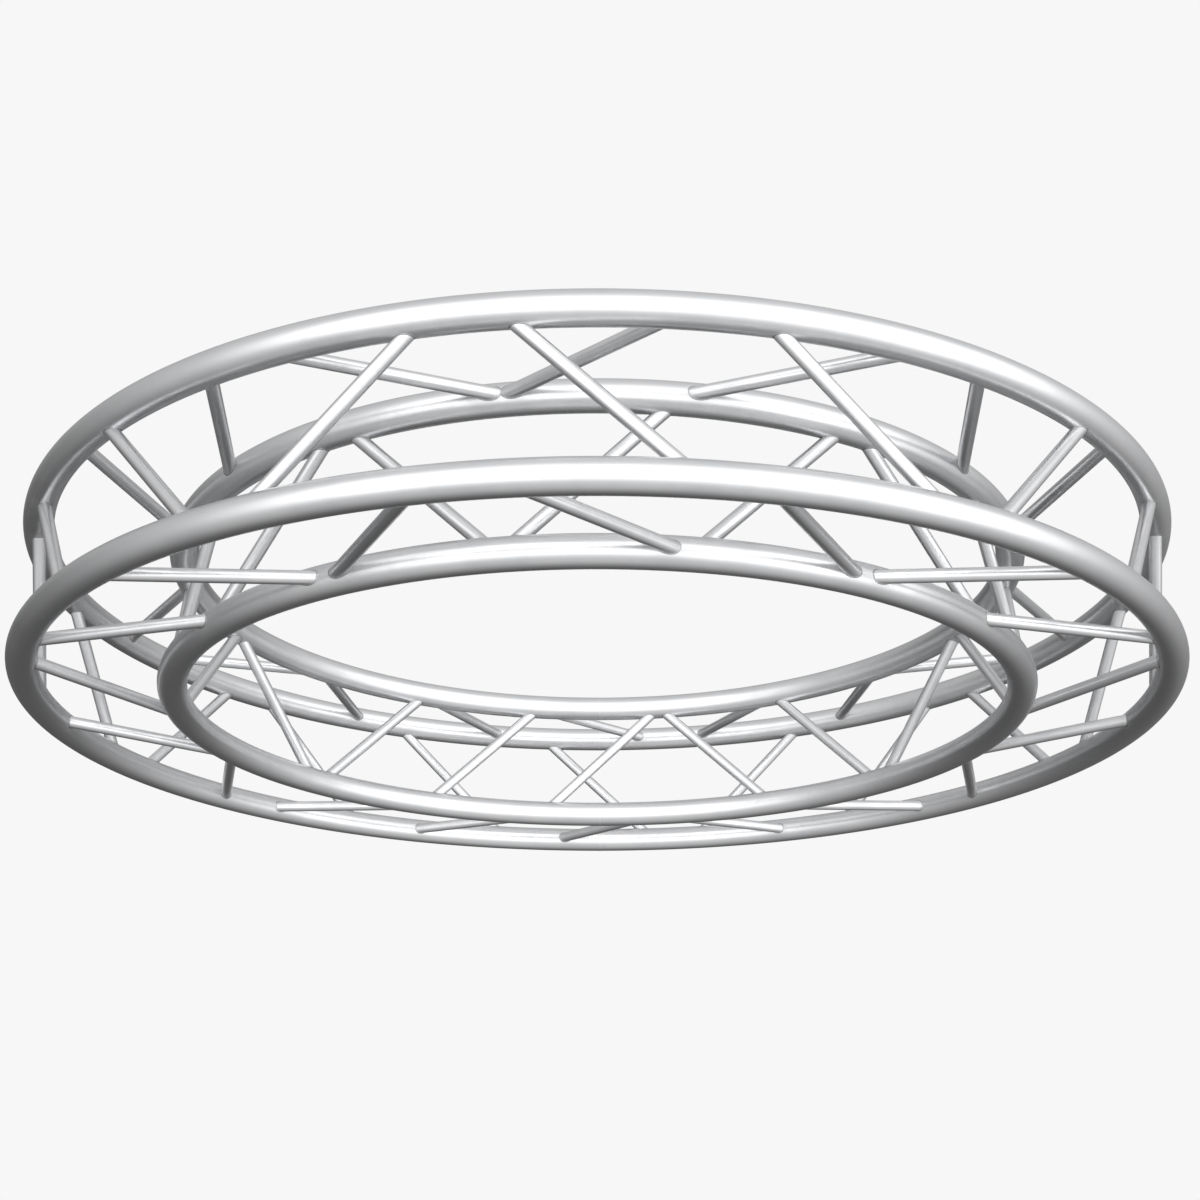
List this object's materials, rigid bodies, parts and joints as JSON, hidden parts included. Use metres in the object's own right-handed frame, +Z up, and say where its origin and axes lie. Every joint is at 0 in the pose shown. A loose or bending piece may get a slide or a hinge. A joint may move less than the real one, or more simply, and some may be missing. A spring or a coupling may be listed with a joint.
{
  "type": "round truss wreath frame",
  "caption": "Circular box-section aluminium truss ring of rolled round chords and straight diagonal braces, used as a large hanging wreath frame.",
  "frame": {"origin": "centre of the ring, level with the underside of the lower chords", "axes": "+Z up the ring axis; -Y is the front, between the ends of the first brace of each face; +X to the right seen from the front"},
  "size_m": [2, 2, 0.29],
  "materials": {
    "chord_tube": "satin drawn tube",
    "brace_tube": "satin drawn tube"
  },
  "bodies": {
    "root": {"outer_upper_chord": "chord_tube", "outer_lower_chord": "chord_tube", "inner_upper_chord": "chord_tube", "inner_lower_chord": "chord_tube", "outer_brace_01": "brace_tube", "outer_brace_02": "brace_tube", "outer_brace_03": "brace_tube", "outer_brace_04": "brace_tube", "outer_brace_05": "brace_tube", "outer_brace_06": "brace_tube", "outer_brace_07": "brace_tube", "outer_brace_08": "brace_tube", "outer_brace_09": "brace_tube", "outer_brace_10": "brace_tube", "outer_brace_11": "brace_tube", "outer_brace_12": "brace_tube", "outer_brace_13": "brace_tube", "outer_brace_14": "brace_tube", "outer_brace_15": "brace_tube", "outer_brace_16": "brace_tube", "outer_brace_17": "brace_tube", "outer_brace_18": "brace_tube", "top_brace_02": "brace_tube", "top_brace_03": "brace_tube", "top_brace_06": "brace_tube", "top_brace_09": "brace_tube", "top_brace_10": "brace_tube", "top_brace_11": "brace_tube", "top_brace_14": "brace_tube", "top_brace_17": "brace_tube", "top_brace_01_18": "brace_tube", "top_brace_04_05": "brace_tube", "top_brace_07_08": "brace_tube", "top_brace_15_16": "brace_tube", "top_brace_12_13": "brace_tube", "inner_brace_01": "brace_tube", "inner_brace_08": "brace_tube", "inner_brace_11": "brace_tube", "inner_brace_12": "brace_tube", "inner_brace_09_10": "brace_tube", "inner_brace_02_03": "brace_tube", "inner_brace_04_05": "brace_tube", "inner_brace_06_07": "brace_tube", "inner_brace_17_18": "brace_tube", "inner_brace_15_16": "brace_tube", "inner_brace_13_14": "brace_tube", "bottom_brace_01": "brace_tube", "bottom_brace_04": "brace_tube", "bottom_brace_05": "brace_tube", "bottom_brace_08": "brace_tube", "bottom_brace_11": "brace_tube", "bottom_brace_12": "brace_tube", "bottom_brace_15": "brace_tube", "bottom_brace_16": "brace_tube", "bottom_brace_09_10": "brace_tube", "bottom_brace_02_03": "brace_tube", "bottom_brace_06_07": "brace_tube", "bottom_brace_17_18": "brace_tube", "bottom_brace_13_14": "brace_tube"}
  },
  "joints": []
}
